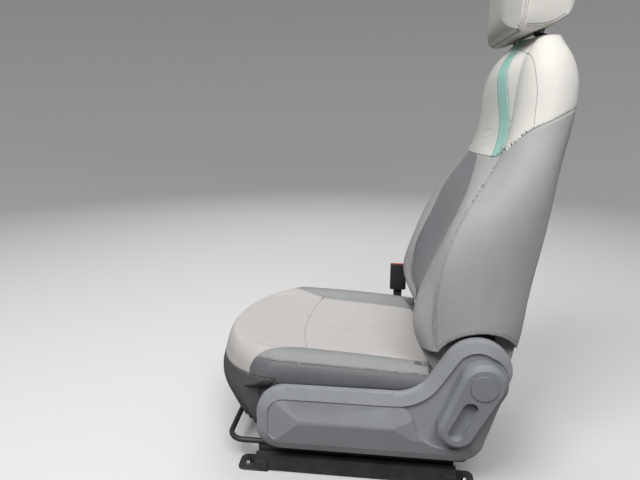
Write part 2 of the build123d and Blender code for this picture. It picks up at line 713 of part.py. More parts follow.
def swell():
    """Raised lower panel, fullest along its ridge and ending in an S-shaped edge at the hollow."""
    floor_x = DISH_FLOOR_X - 1
    low_z = SHIELD_HEEL[1] - SHIELD_HEEL[2]
    section = rounded((floor_x, low_z, 0), (SHIELD_EDGE_X + 3, low_z, 0),
                      (SWELL_RIDGE_X, SWELL_RIDGE_Z, 18), (SWELL_TOP_X, SHIELD_TOP_Z - SHIELD_BAND, 0),
                      (floor_x, SHIELD_TOP_Z - SHIELD_BAND, 0))
    front = SHIELD_FRONT_Y + SHIELD_BAND
    plan = rounded((floor_x, front - 6, 0), (SHIELD_EDGE_X + 3, front - 6, 0),
                   (SWELL_RIDGE_X, front + 70, 90), (SWELL_RIDGE_X, SWELL_CURVE[0], 60),
                   (SWELL_REAR_X, 116, 40), (SWELL_REAR_X, 280, 0), (floor_x, 280, 0))
    outline = ring(shield_arcs(), SHIELD_BAND) - hollow_face()
    body = along(section, SHIELD_FRONT_Y, 280) & extrude(plan, SHIELD_TOP_Z)
    return body & across(outline, floor_x, SWELL_RIDGE_X + 1)


def side_shield_outboard():
    arcs = shield_arcs()
    shell = shield_shell(arcs)
    mouth = SHIELD_OUTER_X + 1
    shell -= taper(lambda grow: ring(arcs, SHIELD_BAND - grow), DISH_FLOOR_X, mouth, -DISH_WALL, 0)
    shell -= taper(lambda grow: ring(lever_arcs(DISH_MARGIN + grow)), DISH_FLOOR_X, mouth, -DISH_WALL, 0)
    shell += swell() - across(ring(lever_arcs(DISH_MARGIN)), DISH_FLOOR_X, SWELL_RIDGE_X + 1)
    # Below its ridge the whole flank leans in to the lower rim.
    low_z = SHIELD_HEEL[1] - SHIELD_HEEL[2]
    flank = make_face(Polyline((200, low_z - 5), (SHIELD_EDGE_X + 3, low_z - 5), (SHIELD_EDGE_X + 3, low_z),
                               (SWELL_RIDGE_X, SWELL_RIDGE_Z), (SWELL_RIDGE_X, 400), (200, 400),
                               close=True))
    shell &= along(flank, SHIELD_FRONT_Y - 10, 400)
    shell -= rod_x(SPINDLE_R + 1, 200, 300, PIVOT_Y, PIVOT_Z)
    for y, z in ((-150, 118), (60, 96)):
        shell += rod_x(7, MEMBER_X + MEMBER_THICK, SHIELD_EDGE_X - 1, y, z)
    return shell


def side_shield_inboard():
    shell = shield_shell(stadium(SHIELD_HEAD, SHIELD_HEEL))
    for y, z in ((240, 292), (196, 98)):
        shell += rod_x(7, MEMBER_X + MEMBER_THICK, SHIELD_EDGE_X - 1, y, z)
    return flip(shell, -1)


def recliner_lever():
    """Long lever with a finger recess, on a spindle that goes through the shield."""
    lever = across(ring(lever_arcs()), DISH_FLOOR_X + 2, LEVER_OUTER_X)
    outer = lever.faces().sort_by(Axis.X)[-1]
    lever = chamfer(outer.edges(), 6, 9)
    grip = ring(stadium((PIVOT_Y - 22, PIVOT_Z - 47, GRIP_R), (LEVER_LOW_Y - 4, LEVER_LOW_Z - 3, GRIP_R)))
    lever -= across(grip, LEVER_OUTER_X - GRIP_DEPTH, LEVER_OUTER_X + 5)
    lever -= rod_x(CAP_R + SEAT_GAP, LEVER_OUTER_X - 1, LEVER_OUTER_X + 5, PIVOT_Y, PIVOT_Z)
    return lever + rod_x(SPINDLE_R, MEMBER_X + MEMBER_THICK, DISH_FLOOR_X + 2, PIVOT_Y, PIVOT_Z)


def lever_cap():
    return rod_x(CAP_R, LEVER_OUTER_X - 1 + SEAT_GAP, LEVER_OUTER_X + CAP_THICK, PIVOT_Y, PIVOT_Z)


def slide_bar():
    """Bar under the cushion's front that releases both rails."""
    z = UPPER_RAIL_TOP + SEAT_GAP + BAR_R
    x = BOLT_SPACING_X / 2
    y = MEMBER_FRONT_Y + 3
    path = FilletPolyline((-x, y, z), (-x, BAR_FRONT_Y, z), (x, BAR_FRONT_Y, z), (x, y, z),
                          radius=BAR_BEND)
    return sweep(Plane((-x, y, z), z_dir=(0, -1, 0)) * Circle(BAR_R), path=path)


def buckle_stalk():
    foot_x = MEMBER_X + MEMBER_THICK
    in_x = BUCKLE_X - STALK_THICK / 2
    strap = make_face(Polyline((foot_x, 84), (foot_x, 150), (in_x, 206), (in_x, BUCKLE_BASE_Z),
                               (in_x + STALK_THICK, BUCKLE_BASE_Z), (in_x + STALK_THICK, 204),
                               (foot_x + STALK_THICK, 148), (foot_x + STALK_THICK, 84), close=True))
    half = STALK_WIDTH / 2
    return flip(along(strap, BUCKLE_Y + half, BUCKLE_Y - half), -1)


def buckle_parts():
    """Buckle body with its tongue slot, and the push button."""
    thick, wide, tall = BUCKLE_SIZE
    top = BUCKLE_BASE_Z + tall
    body = Pos(BUCKLE_X, BUCKLE_Y, BUCKLE_BASE_Z + tall / 2) * Box(thick, wide, tall)
    body = fillet(body.edges().filter_by(Axis.Z), 7)
    body -= block(BUCKLE_X - 7, BUCKLE_X - 2, BUCKLE_Y - 15, BUCKLE_Y + 15, top - 24, top + 1)
    well = block(BUCKLE_X + 1, BUCKLE_X + 9, BUCKLE_Y - 16, BUCKLE_Y + 16, top - 8, top + 1)
    body -= well
    button = block(BUCKLE_X + 1.3, BUCKLE_X + 8.7, BUCKLE_Y - 15.7, BUCKLE_Y + 15.7, top - 7.7, top + 1)
    return {"buckle_body": flip(body, -1), "buckle_button": flip(button, -1)}


def main():
    os.makedirs("parts", exist_ok=True)
    for name, side in SIDES:
        save(f"lower_rail_{name}", flip(lower_rail(), side))
        save(f"upper_rail_{name}", flip(upper_rail(), side))
        save(f"rail_foot_front_{name}", flip(rail_foot(-1), side))
        save(f"rail_foot_rear_{name}", flip(rail_foot(1), side))
        save(f"side_member_{name}", flip(side_member(), side))
        save(f"recliner_{name}", flip(recliner(), side))
        save(f"recliner_plate_{name}", flip(recliner_plate(), side))
        save(f"headrest_guide_{name}", headrest_guide(side))
    save("seat_pan", seat_pan())
    save("front_cross_tube", front_tube())
    save("rear_cross_tube", rear_tube())
    save("slide_bar", slide_bar())
    save("side_shield_outboard", side_shield_outboard())
    save("side_shield_inboard", side_shield_inboard())
    save("recliner_lever", recliner_lever())
    save("lever_cap", lever_cap())
    save("buckle_stalk", buckle_stalk())
    save("headrest_posts", headrest_posts())
    for panels in (cushion_panels(), back_panels(), headrest_panels(), buckle_parts()):
        for name, shape in panels.items():
            save(name, shape)


main()
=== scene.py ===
"""Front seat of a small car: camera, studio, covers, seams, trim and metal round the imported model.

Metres throughout. +X is the outboard side with the recliner lever, +Y the rear and +Z up.
"""

import json
import logging
import math
from dataclasses import dataclass, field
from enum import Enum
from typing import Iterable, Sequence

import bmesh
import bpy
import numpy as np
from mathutils import Matrix, Vector
from mathutils.bvhtree import BVHTree
from mathutils.kdtree import KDTree

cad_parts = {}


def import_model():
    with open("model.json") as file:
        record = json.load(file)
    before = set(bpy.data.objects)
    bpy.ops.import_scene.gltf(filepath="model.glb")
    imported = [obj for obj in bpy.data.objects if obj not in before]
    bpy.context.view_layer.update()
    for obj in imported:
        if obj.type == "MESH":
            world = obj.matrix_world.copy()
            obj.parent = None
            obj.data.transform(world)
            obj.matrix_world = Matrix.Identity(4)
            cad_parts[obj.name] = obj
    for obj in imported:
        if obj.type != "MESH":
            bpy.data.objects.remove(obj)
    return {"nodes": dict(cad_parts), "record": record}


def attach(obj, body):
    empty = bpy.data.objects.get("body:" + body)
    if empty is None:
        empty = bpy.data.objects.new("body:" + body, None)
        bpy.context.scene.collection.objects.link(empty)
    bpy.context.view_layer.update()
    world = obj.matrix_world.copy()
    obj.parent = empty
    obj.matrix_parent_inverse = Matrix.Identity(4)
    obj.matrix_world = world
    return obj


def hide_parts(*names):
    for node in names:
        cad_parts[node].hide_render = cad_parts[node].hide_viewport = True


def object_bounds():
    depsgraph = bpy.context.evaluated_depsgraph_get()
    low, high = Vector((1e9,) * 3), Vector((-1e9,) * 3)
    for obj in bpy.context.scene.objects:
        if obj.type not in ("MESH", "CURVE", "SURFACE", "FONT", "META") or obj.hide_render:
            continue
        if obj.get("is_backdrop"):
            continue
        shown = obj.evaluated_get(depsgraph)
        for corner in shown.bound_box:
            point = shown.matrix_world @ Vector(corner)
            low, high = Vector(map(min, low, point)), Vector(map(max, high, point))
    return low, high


LOG = logging.getLogger("car_front_seat")
FRAMES = 16                 # length of the pressure simulation
SHARP = 0.5                 # angle in radians above which a panel's edge stays where it is
CORNER = 0.2                # angle above which an edge of a solid can be a seam
WELD = 0.00002              # solids' vertices closer than this are one
ON_SEAM = 0.0003            # an edge this close to the other solid lies on it
BESIDE_COVER = 0.0006       # vertices this close to another panel are held
BESIDE_HARD = 0.003         # vertices this close to a hard piece are held
SEAM_STEP = 0.003           # spacing of the points of a seam
ROW = 0.0034                # main seams' stitches from the seam
OUTSIDE = 0.32              # X outside the seat, from where the side is searched
PIVOT = (0.240, 0.266)      # Y and Z of the recliners' axis
Colour = tuple[float, float, float]
Point = tuple[float, float, float]


class Body(Enum):
    """The moving bodies of the seat."""

    FLOOR = "floor_rails"
    BASE = "seat_base"
    BACK = "backrest"
    HEAD = "headrest"


# Finishes

class ShaderKit:
    """Adds and links the nodes of one material."""

    def __init__(self, name: str) -> None:
        """Start a material with its output and shader.

        Args:
            name: name of the material.
        """
        self.material = bpy.data.materials.new(name)
        self.material.use_nodes = True
        self.tree = self.material.node_tree
        self.tree.nodes.clear()
        self.output = self.tree.nodes.new("ShaderNodeOutputMaterial")
        self.shader = self.tree.nodes.new("ShaderNodeBsdfPrincipled")
        self.tree.links.new(self.shader.outputs[0], self.output.inputs["Surface"])
        self.place = self.tree.nodes.new("ShaderNodeTexCoord").outputs["Object"]

    def link(self, source: bpy.types.NodeSocket, target: bpy.types.NodeSocket) -> None:
        """Join one socket to another."""
        self.tree.links.new(source, target)

    def texture(self, kind: str, scale: float, place: bpy.types.NodeSocket | None = None,
                **settings: float | str) -> bpy.types.Node:
        """Add a procedural texture.

        Args:
            kind: Noise, Voronoi or Wave.
            scale: repeats in a metre.
            place: coordinates, or the object's own.
            settings: values of its properties or sockets.

        Returns:
            The texture node.
        """
        node = self.tree.nodes.new(f"ShaderNodeTex{kind}")
        node.inputs["Scale"].default_value = scale
        for key, value in settings.items():
            if key in node.inputs:
                node.inputs[key].default_value = value
            else:
                setattr(node, key, value)
        self.link(place or self.place, node.inputs["Vector"])
        return node

    def maths(self, operation: str, first: object, second: object = 0.0) -> bpy.types.NodeSocket:
        """Add a sum, product or other operation on two values or sockets."""
        node = self.tree.nodes.new("ShaderNodeMath")
        node.operation = operation
        for socket, value in zip(node.inputs, (first, second)):
            if isinstance(value, bpy.types.NodeSocket):
                self.link(value, socket)
            else:
                socket.default_value = value
        return node.outputs[0]

    def stretch(self, scale: Point) -> bpy.types.NodeSocket:
        """Coordinates scaled by a factor along each axis."""
        node = self.tree.nodes.new("ShaderNodeMapping")
        node.inputs["Scale"].default_value = scale
        self.link(self.place, node.inputs["Vector"])
        return node.outputs[0]

    def along(self, direction: Point) -> bpy.types.NodeSocket:
        """Distance along a direction, in metres."""
        node = self.tree.nodes.new("ShaderNodeVectorMath")
        node.operation = "DOT_PRODUCT"
        node.inputs[1].default_value = direction
        self.link(self.place, node.inputs[0])
        return node.outputs["Value"]

    def tones(self, factor: bpy.types.NodeSocket,
              stops: Sequence[tuple[float, Colour]]) -> bpy.types.NodeSocket:
        """Colour ramp over a factor.

        Args:
            factor: value from 0 to 1.
            stops: position and colour of each stop.

        Returns:
            The ramp's colour socket.
        """
        ramp = self.tree.nodes.new("ShaderNodeValToRGB")
        elements = ramp.color_ramp.elements
        while len(elements) < len(stops):
            elements.new(0.5)
        for element, (position, colour) in zip(elements, stops):
            element.position = position
            element.color = (*colour, 1)
        self.link(factor, ramp.inputs["Fac"])
        return ramp.outputs["Color"]

    def mixed(self, factor: object, first: object, second: object) -> bpy.types.NodeSocket:
        """Blend of two colours."""
        node = self.tree.nodes.new("ShaderNodeMix")
        node.data_type = "RGBA"
        for socket, value in zip((node.inputs[0], node.inputs[6], node.inputs[7]), (factor, first, second)):
            if isinstance(value, bpy.types.NodeSocket):
                self.link(value, socket)
            else:
                socket.default_value = (*value, 1) if isinstance(value, tuple) else value
        return node.outputs[2]

    def relief(self, heights: Iterable[tuple[bpy.types.NodeSocket, float]]) -> None:
        """Chain bump nodes.

        Args:
            heights: pairs of a height socket and the depth of its relief in metres.
        """
        normal = None
        for height, depth in heights:
            bump = self.tree.nodes.new("ShaderNodeBump")
            bump.inputs["Strength"].default_value = 1.0
            bump.inputs["Distance"].default_value = depth
            self.link(height, bump.inputs["Height"])
            if normal:
                self.link(normal, bump.inputs["Normal"])
            normal = bump.outputs["Normal"]
        self.link(normal, self.shader.inputs["Normal"])

    def set(self, **values: float) -> None:
        """Set plain values on the shader's own sockets, by name with _ for a space."""
        for key, value in values.items():
            self.shader.inputs[key.replace("_", " ")].default_value = value

    def range(self, factor: bpy.types.NodeSocket, low: float, high: float) -> bpy.types.NodeSocket:
        """Map a factor of 0 to 1 onto low to high."""
        return self.maths("ADD", self.maths("MULTIPLY", factor, high - low), low)


def shade(colour: Colour, factor: float) -> Colour:
    """The colour made lighter or darker."""
    return tuple(min(1.0, part * factor) for part in colour)


@dataclass(frozen=True)
class Leathercloth:
    """Coated cloth with a pebbled grain and painted shade in the grain's valleys."""

    name: str
    slot: str
    colour: Colour
    roughness: float = 0.52
    grain: float = 1.5
    depth: float = 0.00012

    def build(self) -> bpy.types.Material:
        """Make the material."""
        kit = ShaderKit(self.name)
        pebbles = kit.texture("Voronoi", 1000 / self.grain, feature="SMOOTH_F1", Smoothness=0.6)
        pores = kit.texture("Noise", 2600, Detail=3.0)
        rubbed = kit.texture("Noise", 9, Detail=4.0)
        cloud = kit.texture("Noise", 38, Detail=2.0)
        tone = kit.maths("ADD", kit.maths("MULTIPLY", rubbed.outputs["Fac"], 0.6),
                         kit.maths("MULTIPLY", cloud.outputs["Fac"], 0.4))
        base = kit.tones(tone, ((0.3, shade(self.colour, 0.93)), (0.7, shade(self.colour, 1.06))))
        # Painted shade for the grain's valleys: the colour is mixed up to 12 % toward a tone at 60 %,
        # following the pebbles' distance field.
        grain_valley_shade = kit.range(pebbles.outputs["Distance"], 0.12, 0.0)
        kit.link(kit.mixed(grain_valley_shade, base, shade(self.colour, 0.6)), kit.shader.inputs["Base Color"])
        kit.link(kit.range(cloud.outputs["Fac"], self.roughness - 0.06, self.roughness + 0.08),
                 kit.shader.inputs["Roughness"])
        kit.relief(((pebbles.outputs["Distance"], -self.depth), (pores.outputs["Fac"], self.depth * 0.4)))
        kit.set(Specular_IOR_Level=0.4)
        return kit.material


@dataclass(frozen=True)
class WovenCloth:
    """Plain-woven melange cloth: crossing threads with painted shade between them, light and dark flecks, a
    soft sheen.
    """

    name: str
    slot: str
    colour: Colour
    across: Point
    down: Point
    thread: float = 0.0011
    fleck: float = 0.16
    relief: float = 0.00022

    def build(self) -> bpy.types.Material:
        """Make the material."""
        kit = ShaderKit(self.name)
        turns = math.pi / self.thread
        warp = kit.maths("SINE", kit.maths("MULTIPLY", kit.along(self.across), turns))
        weft = kit.maths("SINE", kit.maths("MULTIPLY", kit.along(self.down), turns))
        weave = kit.maths("ADD", kit.maths("MULTIPLY", kit.maths("MULTIPLY", warp, weft), 0.5), 0.5)
        slub_across = kit.texture("Noise", 60, kit.stretch((1, 9, 9)), Detail=4.0)
        slub_down = kit.texture("Noise", 60, kit.stretch((9, 1, 1)), Detail=4.0)
        speck = kit.texture("Noise", 520, Detail=2.0)
        slubs = kit.maths("ADD", slub_across.outputs["Fac"], slub_down.outputs["Fac"])
        blend = kit.maths("MULTIPLY", slubs, 0.5)
        tone = kit.maths("ADD", kit.maths("MULTIPLY", blend, 0.55),
                         kit.maths("MULTIPLY", speck.outputs["Fac"], 0.45))
        base = kit.tones(tone, ((0.36, shade(self.colour, 1 - self.fleck)), (0.5, self.colour),
                                (0.64, shade(self.colour, 1 + self.fleck * 0.7))))
        # Painted shade between the threads: where the weave is low the colour is mixed up to 22 % toward a
        # tone at 55 %.
        kit.link(kit.mixed(kit.range(weave, 0.22, 0.0), base, shade(self.colour, 0.55)),
                 kit.shader.inputs["Base Color"])
        kit.relief(((weave, self.relief), (speck.outputs["Fac"], self.relief * 0.5)))
        kit.set(Roughness=0.9, Sheen_Weight=0.25, Sheen_Roughness=0.5, Specular_IOR_Level=0.2)
        return kit.material


@dataclass(frozen=True)
class Moulding:
    """Moulded plastic with a fine spark-eroded grain."""

    name: str
    slot: str
    colour: Colour
    roughness: float = 0.5
    grain: float = 0.7
    depth: float = 0.00005

    def build(self) -> bpy.types.Material:
        """Make the material."""
        kit = ShaderKit(self.name)
        grain = kit.texture("Noise", 1000 / self.grain, Detail=3.0)
        dust = kit.texture("Noise", 14, Detail=5.0)
        scuff = kit.texture("Noise", 90, kit.stretch((1, 0.25, 1)), Detail=2.0)
        base = kit.tones(dust.outputs["Fac"],
                         ((0.35, shade(self.colour, 0.94)), (0.68, shade(self.colour, 1.06))))
        marks = kit.maths("MULTIPLY", kit.maths("GREATER_THAN", scuff.outputs["Fac"], 0.69), 0.18)
        kit.link(kit.mixed(marks, base, shade(self.colour, 1.4)), kit.shader.inputs["Base Color"])
        kit.link(kit.range(dust.outputs["Fac"], self.roughness - 0.08, self.roughness + 0.08),
                 kit.shader.inputs["Roughness"])
        kit.relief(((grain.outputs["Fac"], self.depth),))
        kit.set(Specular_IOR_Level=0.45)
        return kit.material


@dataclass(frozen=True)
class CoatedSteel:
    """Steel under a thin dark coat, rubbed bright in small spots."""

    name: str
    slot: str
    colour: Colour
    roughness: float = 0.4
    metallic: float = 0.55

    def build(self) -> bpy.types.Material:
        """Make the material."""
        kit = ShaderKit(self.name)
        peel = kit.texture("Noise", 700, Detail=2.0)
        dust = kit.texture("Noise", 22, Detail=5.0)
        spots = kit.texture("Noise", 160, Detail=6.0)
        worn = kit.maths("MULTIPLY", kit.maths("GREATER_THAN", spots.outputs["Fac"], 0.7), 0.5)
        base = kit.tones(dust.outputs["Fac"],
                         ((0.35, shade(self.colour, 0.85)), (0.7, shade(self.colour, 1.25))))
        kit.link(kit.mixed(worn, base, (0.3, 0.3, 0.31)), kit.shader.inputs["Base Color"])
        kit.link(kit.range(dust.outputs["Fac"], self.roughness - 0.1, self.roughness + 0.14),
                 kit.shader.inputs["Roughness"])
        kit.relief(((peel.outputs["Fac"], 0.00004),))
        kit.set(Metallic=self.metallic)
        return kit.material


@dataclass(frozen=True)
class PlatedSteel:
    """Bright plated bar with a fine drawn line along it."""

    name: str
    slot: str
    colour: Colour
    roughness: float = 0.16

    def build(self) -> bpy.types.Material:
        """Make the material."""
        kit = ShaderKit(self.name)
        drawn = kit.texture("Noise", 900, kit.stretch((1, 1, 0.05)), Detail=2.0)
        film = kit.texture("Noise", 30, Detail=3.0)
        kit.link(kit.tones(film.outputs["Fac"], ((0.3, shade(self.colour, 0.94)), (0.7, self.colour))),
                 kit.shader.inputs["Base Color"])
        kit.link(kit.range(drawn.outputs["Fac"], self.roughness - 0.05, self.roughness + 0.12),
                 kit.shader.inputs["Roughness"])
        kit.relief(((drawn.outputs["Fac"], 0.00001),))
        kit.set(Metallic=1.0)
        return kit.material


@dataclass(frozen=True)
class Thread:
    """Twisted sewing thread."""

    name: str
    slot: str
    colour: Colour

    def build(self) -> bpy.types.Material:
        """Make the material."""
        kit = ShaderKit(self.name)
        twist = kit.texture("Wave", 1500, Distortion=1.0)
        fuzz = kit.texture("Noise", 900, Detail=2.0)
        base = kit.tones(fuzz.outputs["Fac"],
                         ((0.3, shade(self.colour, 0.82)), (0.7, shade(self.colour, 1.1))))
        kit.link(base, kit.shader.inputs["Base Color"])
        kit.relief(((twist.outputs["Fac"], 0.0001),))
        kit.set(Roughness=0.7, Sheen_Weight=0.2)
        return kit.material


Finish = Leathercloth | WovenCloth | Moulding | CoatedSteel | PlatedSteel | Thread

CUSHION_WEAVE = WovenCloth("light_woven_cloth", "woven_seat", (0.60, 0.57, 0.55), (1, 0, 0), (0, 1, 1))
SLATE_KNIT = WovenCloth("slate_knit", "slate_cloth", (0.19, 0.20, 0.215), (1, 0, 0), (0, 0.2, 1), 0.0013, 0.1)
GREY_HIDE = Leathercloth("grey_leathercloth", "grey_hide", (0.47, 0.47, 0.465))
BOLSTER_HIDE = Leathercloth("bolster_leathercloth", "grey_hide", (0.325, 0.33, 0.33))
DARK_HIDE = Leathercloth("dark_leathercloth", "dark_hide", (0.165, 0.17, 0.178))
# Painted shade: a darker copy of the dark leathercloth for the cushion's front facing, which lies in shade.
FACING_SHADED_HIDE = Leathercloth("facing_shaded_leathercloth", "dark_hide", (0.115, 0.118, 0.122))
CREAM_HIDE = Leathercloth("cream_leathercloth", "cream_hide", (0.82, 0.80, 0.745), 0.5)
MINT_BAND = WovenCloth("mint_band", "mint_stripe", (0.38, 0.68, 0.61), (1, 0, 0), (0, 0.3, 1), 0.0009, 0.06)
TRIM = Moulding("grey_moulding", "moulded_trim", (0.35, 0.36, 0.378))
LEVER_TRIM = Moulding("lever_moulding", "moulded_trim", (0.29, 0.30, 0.315), 0.45)
BLACK_PLASTIC = Moulding("black_moulding", "black_plastic", (0.03, 0.032, 0.035))
RED_PLASTIC = Moulding("red_button", "red_plastic", (0.62, 0.08, 0.06), 0.3)
RAIL_STEEL = CoatedSteel("rail_steel", "rail_steel", (0.10, 0.105, 0.11))
FRAME_STEEL = CoatedSteel("frame_steel", "frame_steel", (0.06, 0.062, 0.065), 0.45, 0.3)
BRIGHT_STEEL = PlatedSteel("plated_steel", "bright_steel", (0.75, 0.76, 0.78))
PALE_THREAD = Thread("pale_thread", "grey_hide", (0.62, 0.61, 0.58))
# Painted shade: near-black dots stand in for the shade inside the needle holes.
NEEDLE_HOLE_SHADE = Thread("needle_hole", "grey_hide", (0.025, 0.025, 0.027))


class Wardrobe:
    """Builds each finish once and puts it on pieces."""

    def __init__(self) -> None:
        """Start with nothing built."""
        self.made: dict[str, bpy.types.Material] = {}

    def material(self, finish: Finish) -> bpy.types.Material:
        """The material of a finish, made the first time it is asked for."""
        if finish.name not in self.made:
            self.made[finish.name] = finish.build()
        return self.made[finish.name]

    def dress(self, piece: bpy.types.Object, finish: Finish) -> None:
        """Give a piece one finish all over."""
        material = self.material(finish)
        piece.data.materials.clear()
        piece.data.materials.append(material)


# Meshes

def make_object(name: str, mesh: bpy.types.Mesh) -> bpy.types.Object:
    """Link a mesh into the scene as a new object."""
    piece = bpy.data.objects.new(name, mesh)
    bpy.context.scene.collection.objects.link(piece)
    return piece


def from_bmesh(name: str, work: bmesh.types.BMesh, smooth: bool = True) -> bpy.types.Object:
    """Turn a bmesh into an object and free it.

    Args:
        name: name of the object.
        work: the bmesh, which is freed.
        smooth: whether faces are shaded smooth.

    Returns:
        The object.
    """
    mesh = bpy.data.meshes.new(name)
    work.to_mesh(mesh)
    work.free()
    mesh.polygons.foreach_set("use_smooth", [smooth] * len(mesh.polygons))
    return make_object(name, mesh)


def applied(piece: bpy.types.Object) -> None:
    """Replace a piece's mesh by the one its modifiers give, and remove them."""
    graph = bpy.context.evaluated_depsgraph_get()
    graph.update()
    mesh = bpy.data.meshes.new_from_object(piece.evaluated_get(graph))
    piece.modifiers.clear()
    old = piece.data
    piece.data = mesh
    bpy.data.meshes.remove(old)
    mesh.polygons.foreach_set("use_smooth", [True] * len(mesh.polygons))


def places(mesh: bpy.types.Mesh) -> np.ndarray:
    """The vertices' places, one row each."""
    flat = np.empty(len(mesh.vertices) * 3, np.float32)
    mesh.vertices.foreach_get("co", flat)
    return flat.reshape(-1, 3)


def normals(mesh: bpy.types.Mesh) -> np.ndarray:
    """The vertices' normals, one row each."""
    flat = np.empty(len(mesh.vertices) * 3, np.float32)
    mesh.vertex_normals.foreach_get("vector", flat)
    return flat.reshape(-1, 3)


def put(mesh: bpy.types.Mesh, rows: np.ndarray) -> None:
    """Move the vertices to new places."""
    mesh.vertices.foreach_set("co", np.ascontiguousarray(rows, np.float32).ravel())
    mesh.update()


def search_tree(rows: np.ndarray) -> KDTree:
    """Tree that finds the rows nearest to a place."""
    tree = KDTree(len(rows))
    for index, row in enumerate(rows):
        tree.insert(row, index)
    tree.balance()
    return tree


class Surface:
    """Finds points on the outside of some pieces."""

    def __init__(self, pieces: Iterable[bpy.types.Object]) -> None:
        """Build the search tree of the pieces' meshes."""
        work = bmesh.new()
        for piece in pieces:
            work.from_mesh(piece.data)
        self.tree = BVHTree.FromBMesh(work)
        work.free()

    def touches(self, point: Sequence[float], reach: float) -> bool:
        """Whether the surface lies within reach of a point."""
        return self.tree.find_nearest(Vector(point), reach)[0] is not None

    def below(self, point: Vector, outward: Vector, reach: float = 0.012) -> tuple[Vector, Vector] | None:
        """Place and normal straight below a point that may lie a little above or under the surface."""
        place, normal, _, _ = self.tree.ray_cast(point + outward * reach, -outward, 2.5 * reach)
        return (place, normal) if place else None


@dataclass
class Seam:
    """A line on the covers with the outward direction at each of its points."""

    places: np.ndarray
    outward: np.ndarray

    def even(self, step: float) -> "Seam":
        """The same line with evenly spaced points.

        Args:
            step: distance between points.

        Returns:
            The new line.
        """
        run = np.concatenate(([0.0], np.cumsum(np.linalg.norm(np.diff(self.places, axis=0), axis=1))))
        at = np.linspace(0, run[-1], max(3, round(run[-1] / step)))
        columns = [np.stack([np.interp(at, run, rows[:, k]) for k in range(3)], 1)
                   for rows in (self.places, self.outward)]
        columns[1] /= np.linalg.norm(columns[1], axis=1, keepdims=True)
        return Seam(*columns)

    def eased(self, rounds: int = 12) -> "Seam":
        """The line with its small kinks smoothed out, its ends kept."""
        places, outward = self.places.copy(), self.outward.copy()
        for _ in range(rounds):
            for rows in (places, outward):
                rows[1:-1] = 0.5 * rows[1:-1] + 0.25 * (rows[:-2] + rows[2:])
        return Seam(places, outward)

    def trimmed(self, spare: float) -> "Seam":
        """The line without a length at each end."""
        left_out = max(1, round(spare / float(np.linalg.norm(self.places[1] - self.places[0]))))
        return Seam(self.places[left_out:-left_out], self.outward[left_out:-left_out])


class SeamFinder:
    """Finds the outer edges that the CAD solids of two panels share."""

    def __init__(self, nodes: dict, covers: Sequence[str]) -> None:
        """Remember the solids.

        Args:
            nodes: objects by node name.
            covers: names of all cover panels.
        """
        self.nodes = nodes
        self.all = Surface(nodes[name] for name in covers)

    def outer(self, edge: bmesh.types.BMEdge) -> Vector | None:
        """Normal of the edge's face that looks outside, or None for a hidden edge."""
        middle = (edge.verts[0].co + edge.verts[1].co) / 2
        for face in edge.link_faces:
            inward = (face.calc_center_median() - middle).normalized()
            start = middle + face.normal * 0.0008 + inward * 0.0008
            _, normal, _, _ = self.all.tree.ray_cast(start, face.normal, 0.25)
            if normal is None or normal.dot(face.normal) < 0:
                return face.normal.copy()
        return None

    def between(self, first: str, second: str) -> Seam:
        """The seam of two panels, looking outward midway between their faces.

        Args:
            first: node whose edges are followed.
            second: node that they touch.

        Returns:
            The line.
        """
        seam, other = self.edge_line(first, second), self.edge_line(second, first)
        tree = search_tree(other.places)
        outward = seam.outward + np.array([other.outward[tree.find(row)[1]] for row in seam.places])
        outward /= np.linalg.norm(outward, axis=1, keepdims=True)
        seam = Seam(seam.places, outward).eased()
        LOG.info("seam %s / %s: z %.3f to %.3f", first, second, seam.places[0, 2], seam.places[-1, 2])
        return seam

    def edge_line(self, first: str, second: str) -> Seam:
        """The visible edge line of the first panel that lies on the second."""
        work = bmesh.new()
        work.from_mesh(self.nodes[first].data)
        bmesh.ops.remove_doubles(work, verts=work.verts, dist=WELD)
        work.verts.ensure_lookup_table()
        other = Surface([self.nodes[second]])
        links: dict[int, list[int]] = {}
        outward: dict[int, Vector] = {}
        for edge in work.edges:
            if len(edge.link_faces) != 2 or edge.calc_face_angle(0) < CORNER:
                continue
            a, b = edge.verts
            if not (other.touches(a.co, ON_SEAM) and other.touches(b.co, ON_SEAM)):
                continue
            normal = self.outer(edge)
            if normal:
                for one, two in ((a.index, b.index), (b.index, a.index)):
                    links.setdefault(one, []).append(two)
                    outward[one] = outward.get(one, Vector()) + normal
        line = self.joined([chain for chain in self.chains(links) if len(chain) > 2], work)
        seam = Seam(np.array([work.verts[i].co[:] for i in line]),
                    np.array([outward[i].normalized()[:] for i in line]))
        work.free()
        return seam.even(SEAM_STEP).eased()

    @staticmethod
    def joined(chains: list[list[int]], work: bmesh.types.BMesh, reach: float = 0.06) -> list[int]:
        """Start from the longest line and join on the others whose ends come near."""
        def gap(one: int, two: int) -> float:
            return (work.verts[one].co - work.verts[two].co).length

        chains.sort(key=lambda chain: -sum(gap(a, b) for a, b in zip(chain, chain[1:])))
        line = chains.pop(0)
        while chains:
            options = [(gap(line[-1], chain[0]), 0, chain) for chain in chains]
            options += [(gap(line[-1], chain[-1]), 1, chain) for chain in chains]
            options += [(gap(line[0], chain[-1]), 2, chain) for chain in chains]
            options += [(gap(line[0], chain[0]), 3, chain) for chain in chains]
            distance, way, chain = min(options, key=lambda option: option[0])
            if distance > reach:
                break
            chains.remove(chain)
            ordered = chain[::-1] if way in (1, 3) else chain
            line = line + ordered if way < 2 else ordered + line
        return line

    @staticmethod
    def chains(links: dict[int, list[int]]) -> list[list[int]]:
        """Order linked vertices into lines."""
        result = []
        while links:
            start = next((i for i, ends in links.items() if len(ends) == 1), next(iter(links)))
            chain = [start]
            while links.get(chain[-1]):
                here = chain[-1]
                following = links[here].pop()
                links[following].remove(here)
                chain.append(following)
                for index in (here, following):
                    if index in links and not links[index]:
                        del links[index]
            result.append(chain)
        return result


